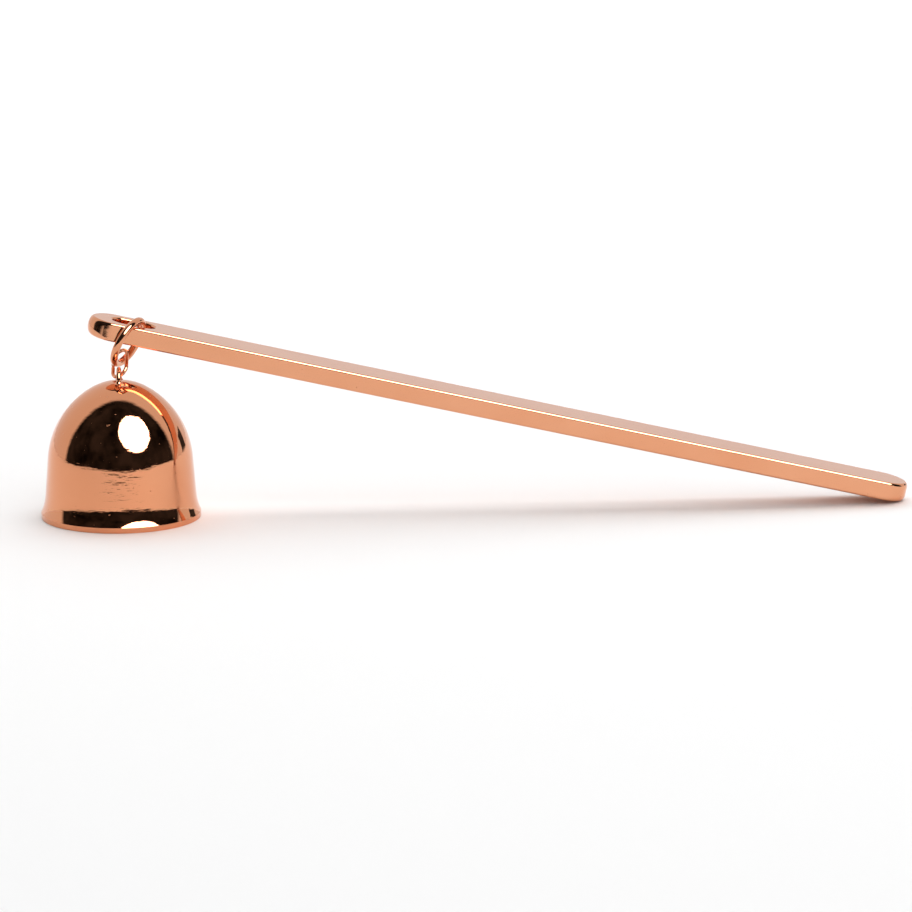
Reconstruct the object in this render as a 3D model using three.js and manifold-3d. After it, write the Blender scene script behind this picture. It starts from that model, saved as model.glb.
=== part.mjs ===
// A candle snuffer: a thin flared bell that stands on its rim, an eye on its crown, and two linked rings
// that hang it from the slotted head of a long flat handle. The handle's tail rests on the table.
// Millimetres, +Z up, +X along the handle towards its tail, origin at the middle of the base of the whole part.

import * as THREE from 'three';
import { mergeVertices } from 'three/addons/utils/BufferGeometryUtils.js';
import Module from 'manifold-3d';

// Bell: turned about a vertical axis through x = 0, y = 0 while the part is being built.
const BELL_HEIGHT = 28.7;
const BELL_RIM_RADIUS = 16.6;
const BELL_RIM_BAND = 1.15; // upright band round the very edge of the mouth
const BELL_WALL_FOOT = 5.5; // height at which the flared lip runs out into the wall
const BELL_LIP_ANGLE = THREE.MathUtils.degToRad(27); // the lip's lean at its edge, from the vertical
const BELL_LIP_REACH = 1.45; // height over which the lip keeps that lean
const BELL_WALL_ANGLE = THREE.MathUtils.degToRad(4.5); // the wall's lean, from the vertical
const BELL_SHOULDER_RADIUS = 18.5; // arc from the wall up to the crown
const BELL_CROWN_RADIUS = 11.7;
const BELL_CROWN_ANGLE = THREE.MathUtils.degToRad(60); // slope at which shoulder and crown meet
const BELL_SHEET = 0.8;
const BELL_STEPS = 48; // facets round the bell
const BELL_ARC_STEPS = 5; // facets along each curve of its section

// Eye: a wire staple whose two legs pass through the crown and are bent outwards underneath it.
const EYE_WIRE = 1;
const EYE_HALF_WIDTH = 2.1; // from its middle to the middle of each leg
const EYE_RISE = 2.3; // from the crown to the middle of the wire at the top
const EYE_LEG_BELOW = 2.2; // from the outside of the crown to the middle of the bent legs
const EYE_TOE = 1.3; // length of the bent ends
const LEG_CLEARANCE = 0.3;

// Handle: a flat bar with round ends, set so that its tail touches the table.
const HANDLE_LENGTH = 175;
const HANDLE_WIDTH = 10.6;
const HANDLE_THICKNESS = 3.9;
const HANDLE_EDGE = 0.45; // radius of every long edge
const HANDLE_HEAD = { x: -6, y: 6.6, z: 41.5 }; // middle of the top face at the head end
const SLOT_LENGTH = 9;
const SLOT_WIDTH = 5.8;
const SLOT_CENTRE = 9.3; // from the head end
const HANDLE_ARC_STEPS = 20;

// Ring through the slot, and the small oval link that joins it to the eye.
const RING_WIRE = 1.6;
const RING_RADIUS = 5; // to the middle of the wire
const RING_CENTRE = { along: 8.94, across: -3.73, up: -3.49 }; // from the head end, in the handle's directions
const RING_FACING = { along: 1, across: -0.436, up: -0.277 };
const RING_JOINT_ANGLE = THREE.MathUtils.degToRad(10); // where its butt joint is, from the handle's far side
const LINK_WIRE = 0.8;
const LINK_WIDTH = 3.52; // between the middles of its two long sides
const LINK_HEIGHT = 6.95; // between the middles of its two bends
const LINK_CENTRE = { x: 0.16, y: 3.21, z: 31.62 };
const LINK_TURN = THREE.MathUtils.degToRad(51.9); // about its own length, from the y-z plane
const LINK_TILT = THREE.MathUtils.degToRad(54.2); // its top leans to the far side
const LINK_LEAN = THREE.MathUtils.degToRad(1.8); // and slightly towards the tail
const BUTT_GAP = 0.3; // the two cut ends of a ring of wire

const plating = (name, hex) =>
  new THREE.MeshStandardMaterial({ name, color: hex, metalness: 1, roughness: 0.07 });

const wasm = await Module();
wasm.setup();

// A closed three.js geometry as a manifold-3d solid.
function solidOf(geometry) {
  const bare = geometry.clone();
  bare.deleteAttribute('normal');
  bare.deleteAttribute('uv');
  const merged = mergeVertices(bare, 1e-4);
  return new wasm.Manifold(
    new wasm.Mesh({
      numProp: 3,
      vertProperties: merged.attributes.position.array,
      triVerts: new Uint32Array(merged.index.array),
    }),
  );
}

function geometryOf(solid) {
  const { vertProperties, triVerts } = solid.getMesh();
  const geometry = new THREE.BufferGeometry();
  geometry.setAttribute('position', new THREE.BufferAttribute(vertProperties, 3));
  geometry.setIndex(new THREE.BufferAttribute(triVerts, 1));
  return geometry;
}

// A flat outline drawn in x and y, used as a curve that stands up in the y-z plane.
class UprightCurve extends THREE.Curve {
  constructor(outline) {
    super();
    this.outline = outline;
  }
  getPoint(t, target = new THREE.Vector3()) {
    const { x, y } = this.outline.getPointAt(t);
    return target.set(0, x, y);
  }
}

function wireAlong(outline, diameter, steps, sides) {
  const section = new THREE.Shape(
    Array.from({ length: sides }, (_, i) => {
      const angle = (2 * Math.PI * i) / sides;
      return new THREE.Vector2(Math.cos(angle), Math.sin(angle)).multiplyScalar(diameter / 2);
    }),
  );
  return new THREE.ExtrudeGeometry(section, {
    steps,
    bevelEnabled: false,
    extrudePath: new UprightCurve(outline),
  });
}

function mesh(name, geometry, hex) {
  const made = new THREE.Mesh(geometry, plating(name, hex));
  made.name = name;
  return made;
}

// Outer half-section of the bell from its rim to its crown: lip, wall, shoulder arc and crown arc.
function bellOutline() {
  const crown = BELL_HEIGHT - BELL_CROWN_RADIUS;
  const apart = BELL_SHOULDER_RADIUS - BELL_CROWN_RADIUS;
  const shoulder = {
    r: -apart * Math.cos(BELL_CROWN_ANGLE),
    z: crown - apart * Math.sin(BELL_CROWN_ANGLE),
  };
  const wallTop = {
    r: shoulder.r + BELL_SHOULDER_RADIUS * Math.cos(BELL_WALL_ANGLE),
    z: shoulder.z + BELL_SHOULDER_RADIUS * Math.sin(BELL_WALL_ANGLE),
  };
  const lean = Math.tan(BELL_WALL_ANGLE);
  const foot = { r: wallTop.r + (wallTop.z - BELL_WALL_FOOT) * lean, z: BELL_WALL_FOOT };

  const outline = new THREE.Path();
  outline.moveTo(BELL_RIM_RADIUS, 0);
  outline.lineTo(BELL_RIM_RADIUS, BELL_RIM_BAND);
  outline.bezierCurveTo(
    BELL_RIM_RADIUS - BELL_LIP_REACH * Math.tan(BELL_LIP_ANGLE), BELL_RIM_BAND + BELL_LIP_REACH,
    foot.r + BELL_LIP_REACH * lean, foot.z - BELL_LIP_REACH,
    foot.r, foot.z,
  );
  outline.lineTo(wallTop.r, wallTop.z);
  outline.absarc(shoulder.r, shoulder.z, BELL_SHOULDER_RADIUS, BELL_WALL_ANGLE, BELL_CROWN_ANGLE, false);
  outline.absarc(0, crown, BELL_CROWN_RADIUS, BELL_CROWN_ANGLE, Math.PI / 2, false);
  return outline.getPoints(BELL_ARC_STEPS);
}

// The same section moved inwards by the thickness of the sheet, square to the surface.
function insideOf(points) {
  return points.map((point, i) => {
    if (i === 0) return new THREE.Vector2(point.x - BELL_SHEET, 0);
    if (i === points.length - 1) return new THREE.Vector2(0, point.y - BELL_SHEET);
    const along = points[i + 1].clone().sub(points[i - 1]).normalize();
    return new THREE.Vector2(point.x - along.y * BELL_SHEET, point.y + along.x * BELL_SHEET);
  });
}

function bell() {
  const outside = bellOutline();
  outside[outside.length - 1].x = 0;
  const inside = insideOf(outside).reverse();
  const turned = new THREE.LatheGeometry([...outside, ...inside, outside[0]], BELL_STEPS);
  let solid = solidOf(turned.rotateX(Math.PI / 2));
  for (const side of [-1, 1]) {
    const hole = new THREE.CylinderGeometry(
      EYE_WIRE / 2 + LEG_CLEARANCE, EYE_WIRE / 2 + LEG_CLEARANCE, 6, 14,
    );
    hole.rotateX(Math.PI / 2);
    hole.translate(0, side * EYE_HALF_WIDTH, BELL_HEIGHT);
    solid = solid.subtract(solidOf(hole));
  }
  return mesh('bell', geometryOf(solid), 0xd9a184);
}

function bellEye() {
  const top = EYE_RISE - EYE_HALF_WIDTH;
  const bend = EYE_WIRE / 2; // radius of the bends under the crown
  const bendCentre = { across: EYE_HALF_WIDTH + bend, up: bend - EYE_LEG_BELOW };
  const outline = new THREE.Path();
  outline.moveTo(EYE_HALF_WIDTH + EYE_TOE, -EYE_LEG_BELOW);
  outline.lineTo(bendCentre.across, -EYE_LEG_BELOW);
  outline.absarc(bendCentre.across, bendCentre.up, bend, -Math.PI / 2, Math.PI, true);
  outline.lineTo(EYE_HALF_WIDTH, top);
  outline.absarc(0, top, EYE_HALF_WIDTH, 0, Math.PI, false);
  outline.lineTo(-EYE_HALF_WIDTH, bendCentre.up);
  outline.absarc(-bendCentre.across, bendCentre.up, bend, 0, -Math.PI / 2, true);
  outline.lineTo(-EYE_HALF_WIDTH - EYE_TOE, -EYE_LEG_BELOW);
  const eye = mesh('bell_eye', wireAlong(outline, EYE_WIRE, 44, 10), 0xd39a7c);
  eye.position.set(0, 0, BELL_HEIGHT);
  return eye;
}

// Angle at which the bar lies when its head is at its height and its rounded tail touches the table.
function handleSlope() {
  const run = HANDLE_LENGTH - HANDLE_EDGE;
  const drop = HANDLE_THICKNESS - HANDLE_EDGE;
  return Math.asin((HANDLE_HEAD.z - HANDLE_EDGE) / Math.hypot(run, drop)) - Math.atan2(drop, run);
}

// A stadium outline along x, centred on `centre`, made smaller all round by `inset`.
function stadium(Outline, centre, length, width, inset) {
  const radius = width / 2 - inset;
  const reach = (length - width) / 2;
  const outline = new Outline();
  outline.absarc(centre + reach, 0, radius, -Math.PI / 2, Math.PI / 2, false);
  outline.absarc(centre - reach, 0, radius, Math.PI / 2, (3 * Math.PI) / 2, false);
  outline.closePath();
  return outline;
}

function handle() {
  const outline = stadium(THREE.Shape, HANDLE_LENGTH / 2, HANDLE_LENGTH, HANDLE_WIDTH, HANDLE_EDGE);
  outline.holes.push(stadium(THREE.Path, SLOT_CENTRE, SLOT_LENGTH, SLOT_WIDTH, -HANDLE_EDGE));
  const geometry = new THREE.ExtrudeGeometry(outline, {
    depth: HANDLE_THICKNESS - 2 * HANDLE_EDGE,
    curveSegments: HANDLE_ARC_STEPS,
    bevelThickness: HANDLE_EDGE,
    bevelSize: HANDLE_EDGE,
    bevelSegments: 3,
  });
  geometry.translate(0, 0, HANDLE_EDGE - HANDLE_THICKNESS);
  return mesh('handle', geometry, 0xdda88c);
}

function handleRing() {
  const outline = new THREE.Path();
  const half = BUTT_GAP / 2 / RING_RADIUS;
  outline.absarc(0, 0, RING_RADIUS, RING_JOINT_ANGLE + half, RING_JOINT_ANGLE - half + 2 * Math.PI, false);
  const ring = mesh('handle_ring', wireAlong(outline, RING_WIRE, 52, 12), 0xd79f81);
  const facing = new THREE.Vector3(RING_FACING.along, RING_FACING.across, RING_FACING.up).normalize();
  ring.position.set(RING_CENTRE.along, RING_CENTRE.across, RING_CENTRE.up);
  ring.quaternion.setFromUnitVectors(new THREE.Vector3(1, 0, 0), facing);
  return ring;
}

function link() {
  const radius = LINK_WIDTH / 2;
  const straight = LINK_HEIGHT / 2 - radius;
  const outline = new THREE.Path();
  outline.moveTo(radius, BUTT_GAP / 2);
  outline.lineTo(radius, straight);
  outline.absarc(0, straight, radius, 0, Math.PI, false);
  outline.lineTo(-radius, -straight);
  outline.absarc(0, -straight, radius, Math.PI, 2 * Math.PI, false);
  outline.lineTo(radius, -BUTT_GAP / 2);
  const made = mesh('link', wireAlong(outline, LINK_WIRE, 48, 10), 0xcf9678);
  made.position.set(LINK_CENTRE.x, LINK_CENTRE.y, LINK_CENTRE.z);
  made.rotation.set(-LINK_TILT, LINK_LEAN, LINK_TURN, 'YXZ');
  return made;
}

// The handle's own directions: x along it from the head end, y across it, z out of its top face.
function handleAssembly() {
  const assembly = new THREE.Group();
  assembly.position.set(HANDLE_HEAD.x, HANDLE_HEAD.y, HANDLE_HEAD.z);
  assembly.rotation.y = handleSlope();
  assembly.add(handle(), handleRing());
  return assembly;
}

// Stands the finished part on z = 0 with the middle of its box on the origin.
function candleSnuffer() {
  const pieces = new THREE.Group();
  pieces.add(bell(), bellEye(), link(), handleAssembly());
  pieces.updateMatrixWorld(true);
  const box = new THREE.Box3().setFromObject(pieces, true);
  const middle = box.getCenter(new THREE.Vector3());
  pieces.position.set(-middle.x, -middle.y, -box.min.z);
  const snuffer = new THREE.Group();
  snuffer.add(pieces);
  return snuffer;
}

const snuffer = candleSnuffer();
export default snuffer;
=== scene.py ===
"""A candle snuffer in mirror-polished rose gold, rendered in Blender 4.5 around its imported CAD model.

Each CAD node is replaced by a fine mesh of the same size, because a mirror finish shows every facet.
Lengths in the constants are in millimetres, except on the stage. Everything built is in metres.
"""

import math

import bpy
from mathutils import Matrix, Vector


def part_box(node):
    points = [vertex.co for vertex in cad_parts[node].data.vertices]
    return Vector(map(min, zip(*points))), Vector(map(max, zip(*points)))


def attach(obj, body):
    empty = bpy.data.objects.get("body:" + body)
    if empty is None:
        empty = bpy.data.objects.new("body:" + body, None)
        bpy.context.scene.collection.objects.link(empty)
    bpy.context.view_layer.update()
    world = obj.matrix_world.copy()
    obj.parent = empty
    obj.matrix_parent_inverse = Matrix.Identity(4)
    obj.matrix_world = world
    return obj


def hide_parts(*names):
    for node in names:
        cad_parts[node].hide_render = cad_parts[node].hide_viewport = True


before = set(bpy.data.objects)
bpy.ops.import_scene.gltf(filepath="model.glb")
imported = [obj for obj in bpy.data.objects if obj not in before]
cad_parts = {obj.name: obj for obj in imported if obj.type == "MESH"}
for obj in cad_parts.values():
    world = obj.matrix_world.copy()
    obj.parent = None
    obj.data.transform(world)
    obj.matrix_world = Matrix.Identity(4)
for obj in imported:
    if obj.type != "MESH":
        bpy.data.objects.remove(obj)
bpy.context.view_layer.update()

MM = 0.001
SKIN = 0.01  # how far at least every visual surface stays inside its CAD solid

# Bell
BELL_HEIGHT = 28.7
BELL_RIM_RADIUS = 16.6
BELL_RIM_BAND = 1.15
BELL_WALL_FOOT = 5.5  # height at which the flared lip runs out into the wall
BELL_LIP_ANGLE = math.radians(27)  # the lip's lean at its edge, from the vertical
BELL_LIP_REACH = 1.45  # height over which the lip keeps that lean
BELL_WALL_ANGLE = math.radians(4.5)
BELL_SHOULDER_RADIUS = 18.5
BELL_CROWN_RADIUS = 11.7
BELL_CROWN_ANGLE = math.radians(60)  # slope at which shoulder and crown meet
BELL_SHEET = 0.8
BELL_RIM_SOFTENING = 0.16  # radius of the rim's two edges
BELL_SEGMENTS = 256

# Eye on the crown
EYE_WIRE = 1.0
EYE_HALF_WIDTH = 2.1
EYE_RISE = 2.3
EYE_LEG_BELOW = 2.2
EYE_TOE = 1.3
BRAZE_RADIUS = 1.15
BRAZE_HEIGHT = 0.75
BRAZE_SUNK = 0.12  # how far its foot lies below the crown
BRAZE_STEPS = 10
BRAZE_SEGMENTS = 48

# Handle
HANDLE_LENGTH = 175.0
HANDLE_WIDTH = 10.6
HANDLE_THICKNESS = 3.9
HANDLE_EDGE = 0.45
HANDLE_HEAD_EDGE = (1.0, 1.92)  # the nose is rounded off more than the long edges: inwards, downwards
HANDLE_TAIL_EDGE = (0.7, 1.2)
HANDLE_HEAD = (-6.0, 6.6, 41.5)  # middle of the top face at the head end, from the bell's base
SLOT_LENGTH = 9.0
SLOT_WIDTH = 5.8
SLOT_CENTRE = 9.3

# Handle ring and link
RING_WIRE = 1.6
RING_RADIUS = 5.0
RING_CENTRE = (8.94, -3.73, -3.49)  # in the handle's own directions, from its head end
RING_FACING = (1.0, -0.436, -0.277)
RING_JOINT_ANGLE = math.radians(10)
LINK_WIRE = 0.8
LINK_WIDTH = 3.52
LINK_HEIGHT = 6.95
LINK_CENTRE = (0.16, 3.21, 31.62)
LINK_TURN = math.radians(51.9)  # about its own length
LINK_TILT = math.radians(54.2)  # its top leans to the far side
LINK_LEAN = math.radians(1.8)  # and slightly towards the tail
BUTT_GAP = 0.3

# Wire ends: how far each end ring lies inside the end, and its share of the wire's radius
WIRE_END_RINGS = ((0.0, 0.55), (0.06, 0.86), (0.2, 1.0))
WIRE_END_REACH = 0.25  # the wire's own rings start this far from its end

# Plating. Scales are noise cells per metre.
DEEPER_TINT = (0.97, 0.92, 0.88)  # what the tint is multiplied by where the plating is thicker
TINT_SCALE = 60
HAZE_SCALE = 250
SPECK_SCALE = 1500
SPECK_ROUGHNESS = 0.3

# Stage, in metres
SOFTBOX_DIRECTION = (0.39, -0.6, 0.69)  # as seen from the bell
SOFTBOX_DISTANCE = 1.1
OVERHEAD_PLACE = (0, 1.0, 1.1)
TABLE_FRONT = -0.29
TABLE_BACK = 1.6
TABLE_SIDE = 1.6
TABLE_BOW = 0.7  # how fast the front edge runs forward on both sides
TABLE_STEPS = 48
FLAG_MIDDLE = (0.71, 0.61, 0.08)
FLAG_HALF_WIDTH = 0.13
FLAG_HEIGHT = 0.14  # above its middle; it reaches half as far below
WHITE_ROOM = 0.85
DARK_ROOM = (0.004, 0.035)
ROOM_EDGE = (0.05, 0.15)  # where the dark room turns white, as the Y share of a direction

# Camera
CAMERA_PLACE = (30.9, -1055.35, 242.57)  # from the middle of the bell's mouth
CAMERA_PITCH = math.radians(12.323)
CAMERA_YAW = math.radians(2.102)
CAMERA_ROLL = math.radians(0.218)
CAMERA_LENS = 205.3


def bell_base():
    """The middle of the bell's mouth, in the CAD frame, in millimetres."""
    low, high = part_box("bell")
    return Vector(((low.x + high.x) / 2, (low.y + high.y) / 2, low.z)) / MM


# ---------------------------------------------------------------- mesh helpers


def mesh_object(name, points, faces, normals=None):
    """A smooth mesh from points in millimetres, with exact normals where they are given."""
    mesh = bpy.data.meshes.new(name)
    mesh.from_pydata([tuple(p * MM) for p in points], [], faces)
    mesh.shade_smooth()
    if normals:
        mesh.normals_split_custom_set_from_vertices([n.normalized() for n in normals])
    made = bpy.data.objects.new(name, mesh)
    bpy.context.scene.collection.objects.link(made)
    return made


def grid_faces(rows, columns):
    """Quads between neighbouring rows of points, each row closed on itself."""
    faces = []
    for row in range(rows - 1):
        below, above = row * columns, (row + 1) * columns
        for column in range(columns):
            beside = (column + 1) % columns
            faces.append((below + column, below + beside, above + beside, above + column))
    return faces


def arc(centre, radius, start, end, steps):
    """Points and outward directions along an arc in a plane."""
    angles = [start + (end - start) * i / steps for i in range(steps + 1)]
    spokes = [Vector((math.cos(a), math.sin(a))) for a in angles]
    return [(Vector(centre) + radius * spoke, spoke) for spoke in spokes]


def line(start, end, steps):
    """Points and directions to the right of travel along a straight line in a plane."""
    start, end = Vector(start), Vector(end)
    along = (end - start).normalized()
    return [(start.lerp(end, i / steps), Vector((along.y, -along.x))) for i in range(steps + 1)]


def bezier(controls, steps):
    """Points and directions to the right of travel along a cubic curve."""
    a, b, c, d = controls
    section = []
    for i in range(steps + 1):
        t = i / steps
        point = a * (1 - t) ** 3 + b * 3 * t * (1 - t) ** 2 + c * 3 * t * t * (1 - t) + d * t**3
        along = (b - a) * (1 - t) ** 2 + (c - b) * 2 * t * (1 - t) + (d - c) * t * t
        along.normalize()
        section.append((point, Vector((along.y, -along.x))))
    return section


# ---------------------------------------------------------------- wire pieces


def wire(name, path, diameter, place, sides=28):
    """Round wire along a flat path of (point, side direction) pairs, with softly rounded ends."""
    radius = diameter / 2 - SKIN
    first, last = path[0], path[-1]
    start_along = (path[1][0] - first[0]).normalized()
    end_along = (last[0] - path[-2][0]).normalized()
    sections = [(first[0] + start_along * inset, first[1], share) for inset, share in WIRE_END_RINGS]
    for point, side in path:
        if min((point - first[0]).length, (point - last[0]).length) > WIRE_END_REACH:
            sections.append((point, side, 1.0))
    sections += [(last[0] - end_along * inset, last[1], share) for inset, share in reversed(WIRE_END_RINGS)]
    points = []
    for point, side, share in sections:
        for i in range(sides):
            angle = 2 * math.pi * i / sides
            offset = side * math.cos(angle) * radius * share
            across = math.sin(angle) * radius * share
            points.append(place @ Vector((across, point.x + offset.x, point.y + offset.y)))
    faces = grid_faces(len(sections), sides)
    faces = [tuple(reversed(face)) for face in faces]
    count = len(points)
    faces += [tuple(range(sides)), tuple(range(count - 1, count - sides - 1, -1))]
    return mesh_object(name, points, faces)


def handle_slope():
    """The angle at which the handle comes to rest on the lower edge of its tail."""
    run, drop = HANDLE_LENGTH - HANDLE_EDGE, HANDLE_THICKNESS - HANDLE_EDGE
    return math.asin((HANDLE_HEAD[2] - HANDLE_EDGE) / math.hypot(run, drop)) - math.atan2(drop, run)


def handle_place():
    """From the handle's own directions to the CAD frame."""
    return Matrix.Translation(bell_base() + Vector(HANDLE_HEAD)) @ Matrix.Rotation(handle_slope(), 4, "Y")


def handle_ring():
    """A round ring with its butt joint inside the slot."""
    half = BUTT_GAP / 2 / RING_RADIUS
    path = arc((0, 0), RING_RADIUS, RING_JOINT_ANGLE + half, RING_JOINT_ANGLE - half + 2 * math.pi, 200)
    turn = Vector((1, 0, 0)).rotation_difference(Vector(RING_FACING).normalized()).to_matrix().to_4x4()
    place = handle_place() @ Matrix.Translation(RING_CENTRE) @ turn
    return wire("ring_wire", path, RING_WIRE, place, sides=40)


def link():
    """An oval ring with its butt joint in the middle of one straight side."""
    radius = LINK_WIDTH / 2
    straight = LINK_HEIGHT / 2 - radius
    path = line((radius, BUTT_GAP / 2), (radius, straight), 4)[:-1]
    path += arc((0, straight), radius, 0, math.pi, 60)
    path += line((-radius, straight), (-radius, -straight), 8)[1:-1]
    path += arc((0, -straight), radius, math.pi, 2 * math.pi, 60)
    path += line((radius, -straight), (radius, -BUTT_GAP / 2), 4)[1:]
    turn = Matrix.Rotation(-LINK_TILT, 4, "X") @ Matrix.Rotation(LINK_TURN, 4, "Z")
    place = Matrix.Translation(bell_base() + Vector(LINK_CENTRE)) @ Matrix.Rotation(LINK_LEAN, 4, "Y") @ turn
    return wire("link_wire", path, LINK_WIRE, place)


def bell_eye():
    """A hoop of wire whose two legs go through the crown and end in toes bent outwards."""
    half, bend = EYE_HALF_WIDTH, EYE_WIRE / 2
    spring = EYE_RISE - half
    leg = [(Vector((half + EYE_TOE, -EYE_LEG_BELOW)), Vector((0, 1)))]
    leg += [(p, -s) for p, s in arc((half + bend, bend - EYE_LEG_BELOW), bend, -math.pi / 2, -math.pi, 12)]
    leg += line((half, bend - EYE_LEG_BELOW), (half, spring), 14)[1:-1]
    top = arc((0, spring), half, 0, math.pi, 60)
    mirrored = [(Vector((-p.x, p.y)), Vector((-s.x, s.y))) for p, s in reversed(leg)]
    place = Matrix.Translation(bell_base() + Vector((0, 0, BELL_HEIGHT)))
    return wire("eye_wire", leg + top + mirrored, EYE_WIRE, place)


# ---------------------------------------------------------------- bell


def bell_section():
    """The outer half-section from the rim to the crown, as (point, outward direction) pairs."""
    crown = Vector((0, BELL_HEIGHT - BELL_CROWN_RADIUS))
    apart = BELL_SHOULDER_RADIUS - BELL_CROWN_RADIUS
    shoulder = crown - apart * Vector((math.cos(BELL_CROWN_ANGLE), math.sin(BELL_CROWN_ANGLE)))
    wall_facing = Vector((math.cos(BELL_WALL_ANGLE), math.sin(BELL_WALL_ANGLE)))
    wall_top = shoulder + BELL_SHOULDER_RADIUS * wall_facing
    lean = Vector((-math.tan(BELL_WALL_ANGLE), 1))
    foot = wall_top - lean * (wall_top.y - BELL_WALL_FOOT)
    rim = Vector((BELL_RIM_RADIUS, BELL_RIM_BAND))
    lip = Vector((-math.tan(BELL_LIP_ANGLE), 1))
    section = [(rim, Vector((1, 0)))]
    section += bezier((rim, rim + lip * BELL_LIP_REACH, foot - lean * BELL_LIP_REACH, foot), 28)
    section += line(foot, wall_top, 16)[1:-1]
    section += arc(shoulder, BELL_SHOULDER_RADIUS, BELL_WALL_ANGLE, BELL_CROWN_ANGLE, 48)
    section += arc(crown, BELL_CROWN_RADIUS, BELL_CROWN_ANGLE, math.pi / 2, 32)[1:]
    return section


def bell():
    """The shell: its closed section turned about the bell's axis."""
    outer = [(p - n * SKIN, n) for p, n in bell_section()]
    inner = [(p - n * (BELL_SHEET - SKIN), -n) for p, n in bell_section()]
    soft = BELL_RIM_SOFTENING
    right, left = outer[0][0].x, inner[0][0].x
    rim = arc((left + soft, soft), soft, math.pi, 1.5 * math.pi, 6)
    rim += arc((right - soft, soft), soft, 1.5 * math.pi, 2 * math.pi, 6)
    inner = [(Vector((max(p.x, 0), p.y)), n) for p, n in inner]
    section = list(reversed(inner)) + rim + outer

    base = bell_base()
    points, normals = [], []
    for point, normal in section[1:-1]:
        for i in range(BELL_SEGMENTS):
            turn = 2 * math.pi * i / BELL_SEGMENTS
            spoke = Vector((math.cos(turn), math.sin(turn), 0))
            points.append(base + spoke * point.x + Vector((0, 0, point.y)))
            normals.append(spoke * normal.x + Vector((0, 0, normal.y)))
    rows = len(section) - 2
    faces = grid_faces(rows, BELL_SEGMENTS)
    for (tip, facing), row, flip in ((section[0], 0, True), (section[-1], rows - 1, False)):
        centre = len(points)
        points.append(base + Vector((0, 0, tip.y)))
        normals.append(Vector((0, 0, facing.y)))
        for i in range(BELL_SEGMENTS):
            a = row * BELL_SEGMENTS + i
            b = row * BELL_SEGMENTS + (i + 1) % BELL_SEGMENTS
            faces.append((centre, b, a) if flip else (centre, a, b))
    return mesh_object("bell_shell", points, faces, normals)


def braze():
    """A small hollow-sided collar of braze round each leg of the eye, where it goes through the crown."""
    flare = BRAZE_RADIUS - EYE_WIRE / 2
    crown_slope = EYE_HALF_WIDTH / BELL_CROWN_RADIUS
    leg_foot = BELL_HEIGHT - EYE_HALF_WIDTH**2 / (2 * BELL_CROWN_RADIUS)
    base = bell_base()
    points, faces, normals = [], [], []
    for side in (-1, 1):
        first = len(points)
        leg = Vector((0, side * EYE_HALF_WIDTH, leg_foot))
        for i in range(BRAZE_STEPS + 1):
            turn = math.pi / 2 * i / BRAZE_STEPS
            radius = BRAZE_RADIUS - flare * math.sin(turn)
            height = BRAZE_HEIGHT * (1 - math.cos(turn)) - BRAZE_SUNK
            facing = Vector((BRAZE_HEIGHT * math.sin(turn), flare * math.cos(turn))).normalized()
            for j in range(BRAZE_SEGMENTS):
                angle = 2 * math.pi * j / BRAZE_SEGMENTS
                spoke = Vector((math.cos(angle), math.sin(angle), 0))
                fall = side * spoke.y * radius * crown_slope * math.cos(turn)
                points.append(base + leg + spoke * radius + Vector((0, 0, height - fall)))
                normals.append(spoke * facing.x + Vector((0, 0, facing.y)))
        faces += [tuple(first + i for i in face) for face in grid_faces(BRAZE_STEPS + 1, BRAZE_SEGMENTS)]
        top = first + BRAZE_STEPS * BRAZE_SEGMENTS
        faces.append(tuple(reversed(range(first, first + BRAZE_SEGMENTS))))
        faces.append(tuple(range(top, top + BRAZE_SEGMENTS)))
    return mesh_object("eye_braze", points, faces, normals)


# ---------------------------------------------------------------- handle


def stadium(centre, length, width, steps):
    """A stadium outline as (point, outward direction) pairs, anticlockwise."""
    reach = (length - width) / 2
    outline = arc((centre + reach, 0), width / 2, -math.pi / 2, math.pi / 2, steps)
    outline += arc((centre - reach, 0), width / 2, math.pi / 2, 1.5 * math.pi, steps)
    return outline


def handle_edge(spoke):
    """How far the edge's rounding reaches inwards and downwards where the outline faces along `spoke`."""
    nose = HANDLE_HEAD_EDGE if spoke.x < 0 else HANDLE_TAIL_EDGE
    share = abs(spoke.x)
    share *= share * (3 - 2 * share)
    return [HANDLE_EDGE + (reach - HANDLE_EDGE) * share for reach in nose]


def edge_profile(inwards, downwards, steps=10):
    """(inset, height, outward share, upward share) from the top face down to the bottom face."""
    upper = []
    for i in range(steps + 1):
        turn = math.pi / 2 * (1 - i / steps)
        facing = Vector((downwards * math.cos(turn), inwards * math.sin(turn))).normalized()
        upper.append((inwards * (1 - math.cos(turn)), downwards * (math.sin(turn) - 1), facing.x, facing.y))
    lower = [(inset, -HANDLE_THICKNESS - height, out, -up) for inset, height, out, up in reversed(upper)]
    return upper + lower


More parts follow.
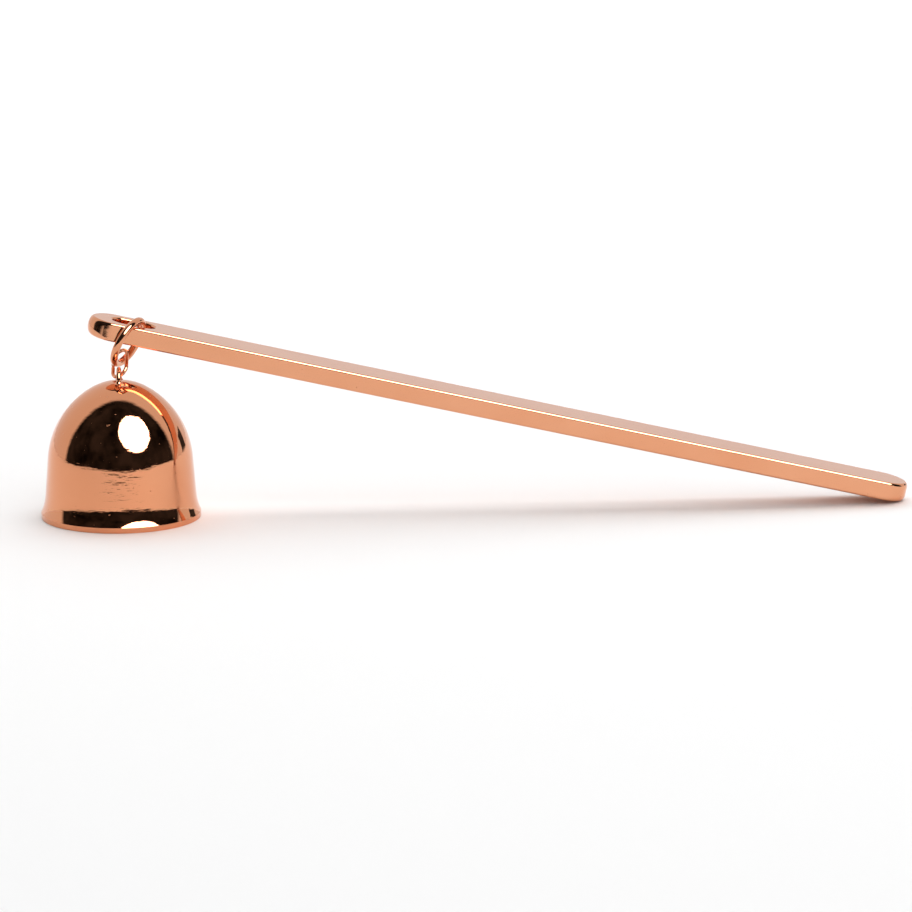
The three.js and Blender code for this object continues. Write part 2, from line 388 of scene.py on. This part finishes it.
def handle():
    """The flat bar: rounded bands round its outline and its slot, joined by the top and bottom faces."""
    outer = stadium(HANDLE_LENGTH / 2, HANDLE_LENGTH - 2 * SKIN, HANDLE_WIDTH - 2 * SKIN, 48)
    slot = stadium(SLOT_CENTRE, SLOT_LENGTH + 2 * SKIN, SLOT_WIDTH + 2 * SKIN, 48)
    place = handle_place()
    turn = place.to_3x3()
    points, normals, faces = [], [], []
    for outline, side in ((outer, 1), (slot, -1)):
        first, count = len(points), len(outline)
        edges = [handle_edge(spoke) if side == 1 else (HANDLE_EDGE, HANDLE_EDGE) for _, spoke in outline]
        profiles = [edge_profile(*edge) for edge in edges]
        levels = len(profiles[0])
        for level in range(levels):
            for (point, spoke), profile in zip(outline, profiles):
                inset, height, out, up = profile[level]
                moved = point - spoke * inset * side
                points.append(place @ Vector((moved.x, moved.y, height)))
                normals.append(turn @ Vector((spoke.x * out * side, spoke.y * out * side, up)))
        for face in grid_faces(levels, count):
            face = tuple(first + i for i in face)
            faces.append(tuple(reversed(face)) if side == 1 else face)
    slot_first = levels * count
    for level in (0, levels - 1):
        a = [level * count + i for i in range(count)]
        b = [slot_first + level * count + i for i in range(count)]
        for i in range(count):
            beside = (i + 1) % count
            face = (a[i], a[beside], b[beside], b[i])
            faces.append(face if level == 0 else tuple(reversed(face)))
    return mesh_object("handle_bar", points, faces, normals)


# ---------------------------------------------------------------- materials


def noise(tree, place, scale, detail):
    """Noise from 0 to 1 with `scale` cells per unit of `place`."""
    node = tree.nodes.new("ShaderNodeTexNoise")
    node.inputs["Scale"].default_value = scale
    node.inputs["Detail"].default_value = detail
    tree.links.new(place, node.inputs["Vector"])
    return node.outputs["Fac"]


def spread(tree, value, low, high, to_low, to_high):
    """Maps low..high to to_low..to_high and clamps what lies outside."""
    node = tree.nodes.new("ShaderNodeMapRange")
    for socket, number in zip(("From Min", "From Max", "To Min", "To Max"), (low, high, to_low, to_high)):
        node.inputs[socket].default_value = number
    tree.links.new(value, node.inputs["Value"])
    return node.outputs["Result"]


def larger(tree, first, second):
    """The larger of two values."""
    node = tree.nodes.new("ShaderNodeMath")
    node.operation = "MAXIMUM"
    tree.links.new(first, node.inputs[0])
    tree.links.new(second, node.inputs[1])
    return node.outputs["Value"]


def plating(name, tint, roughness, ripple, ripple_scale, stretch):
    """Rose gold plating over polished steel: faint ripples, a haze that varies and fine dust specks.

    The ripples are `ripple` metres high and lie closest together along the axis that `stretch` scales most.
    """
    material = bpy.data.materials.new(name)
    material.use_nodes = True
    tree = material.node_tree
    nodes, links = tree.nodes, tree.links
    shader = nodes["Principled BSDF"]
    shader.inputs["Metallic"].default_value = 1.0
    place = nodes.new("ShaderNodeTexCoord").outputs["Object"]

    colour = nodes.new("ShaderNodeMix")
    colour.data_type = "RGBA"
    colour.inputs["A"].default_value = (*tint, 1)
    colour.inputs["B"].default_value = (*[c * f for c, f in zip(tint, DEEPER_TINT)], 1)
    links.new(spread(tree, noise(tree, place, TINT_SCALE, 3), 0.35, 0.7, 0, 1), colour.inputs["Factor"])
    links.new(colour.outputs["Result"], shader.inputs["Base Color"])

    haze = spread(tree, noise(tree, place, HAZE_SCALE, 4), 0.35, 0.75, roughness, roughness * 2)
    specks = spread(tree, noise(tree, place, SPECK_SCALE, 0), 0.81, 0.85, 0, SPECK_ROUGHNESS)
    links.new(larger(tree, haze, specks), shader.inputs["Roughness"])

    stretched = nodes.new("ShaderNodeMapping")
    stretched.inputs["Scale"].default_value = stretch
    links.new(place, stretched.inputs["Vector"])
    bump = nodes.new("ShaderNodeBump")
    bump.inputs["Strength"].default_value = 1.0
    bump.inputs["Distance"].default_value = ripple
    links.new(noise(tree, stretched.outputs["Vector"], ripple_scale, 4), bump.inputs["Height"])
    links.new(bump.outputs["Normal"], shader.inputs["Normal"])
    return material


def paint(piece, material):
    piece.data.materials.clear()
    piece.data.materials.append(material)


# ---------------------------------------------------------------- stage


def plain(name, grey, roughness=0.9):
    material = bpy.data.materials.new(name)
    material.use_nodes = True
    shader = material.node_tree.nodes["Principled BSDF"]
    shader.inputs["Base Color"].default_value = (grey, grey, grey, 1)
    shader.inputs["Roughness"].default_value = roughness
    return material


def stage_sheet(name, corners, material):
    """One flat sheet of the studio, in metres."""
    mesh = bpy.data.meshes.new(name)
    mesh.from_pydata(corners, [], [tuple(range(len(corners)))])
    made = bpy.data.objects.new(name, mesh)
    bpy.context.scene.collection.objects.link(made)
    paint(made, material)


def table():
    """A white table top. Beyond its front edge the polish reflects the dark room."""
    places = [TABLE_SIDE * (2 * i / TABLE_STEPS - 1) for i in range(TABLE_STEPS + 1)]
    corners = [(x, TABLE_FRONT - TABLE_BOW * x * x, 0) for x in places]
    corners += [(TABLE_SIDE, TABLE_BACK, 0), (-TABLE_SIDE, TABLE_BACK, 0)]
    stage_sheet("table_top", corners, plain("table_white", 0.92))


def flag():
    """A black card at the right rear, out of the camera's sight: a dark crescent in the bell's polish."""
    middle, across = Vector(FLAG_MIDDLE), Vector((0.7, -0.71, 0)) * FLAG_HALF_WIDTH
    up = Vector((0, 0, FLAG_HEIGHT))
    foot, head = middle - up * 0.5, middle + up
    corners = (foot - across, foot + across, head + across, head - across)
    stage_sheet("black_flag", corners, plain("flag_black", 0.03))


def area_light(name, shape, size, place, target, power):
    """A flat light of `power` watts at `place`, facing `target`."""
    lamp = bpy.data.lights.new(name, "AREA")
    lamp.shape = shape
    lamp.size = size
    lamp.energy = power
    made = bpy.data.objects.new(name, lamp)
    made.location = place
    made.rotation_euler = (place - target).to_track_quat("Z", "Y").to_euler()
    bpy.context.scene.collection.objects.link(made)
    return made


def lights():
    """A round softbox in front on the right, and an overhead light that keeps the far table white.

    The softbox is two lights in one place, so that its image in the polish can be brighter than its light.
    """
    bell_middle = bell_base() * MM + Vector((0, 0, 0.02))
    place = bell_middle + SOFTBOX_DISTANCE * Vector(SOFTBOX_DIRECTION).normalized()
    face = area_light("softbox_face", "DISK", 0.98, place, bell_middle, 22)
    face.visible_diffuse = False
    glow = area_light("softbox_glow", "DISK", 1.4, place, bell_middle, 13)
    glow.visible_glossy = False
    above = Vector(OVERHEAD_PLACE)
    overhead = area_light("overhead", "SQUARE", 1.8, above, Vector((above.x, above.y, 0)), 17)
    overhead.visible_glossy = False


def surround():
    """A white room behind the snuffer and a dark, cloudy one in front of it."""
    world = bpy.data.worlds.new("studio")
    bpy.context.scene.world = world
    world.use_nodes = True
    tree = world.node_tree
    nodes, links = tree.nodes, tree.links
    background = nodes["Background"]
    background.inputs["Color"].default_value = (1, 1, 1, 1)
    direction = nodes.new("ShaderNodeTexCoord").outputs["Generated"]
    split = nodes.new("ShaderNodeSeparateXYZ")
    links.new(direction, split.inputs["Vector"])
    white = spread(tree, split.outputs["Y"], *ROOM_EDGE, 0, WHITE_ROOM)
    gloom = spread(tree, noise(tree, direction, 3, 4), 0.35, 0.65, *DARK_ROOM)
    links.new(larger(tree, white, gloom), background.inputs["Strength"])


def camera():
    """A long lens about a metre away, looking slightly down."""
    level = Vector((math.sin(CAMERA_YAW), math.cos(CAMERA_YAW), 0))
    forward = level * math.cos(CAMERA_PITCH) - Vector((0, 0, math.sin(CAMERA_PITCH)))
    right = Vector((math.cos(CAMERA_YAW), -math.sin(CAMERA_YAW), 0))
    down = forward.cross(right)
    right, down = (
        right * math.cos(CAMERA_ROLL) + down * math.sin(CAMERA_ROLL),
        down * math.cos(CAMERA_ROLL) - right * math.sin(CAMERA_ROLL),
    )
    lens = bpy.data.cameras.new("camera")
    lens.sensor_width = 36
    lens.lens = CAMERA_LENS
    made = bpy.data.objects.new("camera", lens)
    turn = Matrix((right, -down, -forward)).transposed().to_4x4()
    made.matrix_world = Matrix.Translation((bell_base() + Vector(CAMERA_PLACE)) * MM) @ turn
    bpy.context.scene.collection.objects.link(made)
    bpy.context.scene.camera = made


def build():
    """Makes every piece and says what it rides on and which CAD node it replaces."""
    polished = plating("rose_gold_bell", (0.74, 0.32, 0.17), 0.03, 0.000021, 300, (1, 1, 4))
    bar = plating("rose_gold_handle", (0.76, 0.35, 0.195), 0.05, 0.000015, 200, (0.4, 2, 2))
    drawn = plating("rose_gold_wire", (0.73, 0.32, 0.175), 0.05, 0.000003, 900, (1, 1, 1))
    pieces = (
        (bell(), "bell", "bell", "bell_plating", polished),
        (bell_eye(), "bell", "bell_eye", "wire_plating", drawn),
        (link(), "link", "link", "wire_plating", drawn),
        (handle_ring(), "ring", "handle_ring", "wire_plating", drawn),
        (handle(), "handle", "handle", "handle_plating", bar),
    )
    for piece, body, node, slot, material in pieces:
        paint(piece, material)
        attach(piece, body)
        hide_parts(node)
    collars = braze()
    paint(collars, drawn)
    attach(collars, "bell")


build()
table()
flag()
surround()
lights()
camera()
bpy.context.scene.view_settings.view_transform = "Standard"
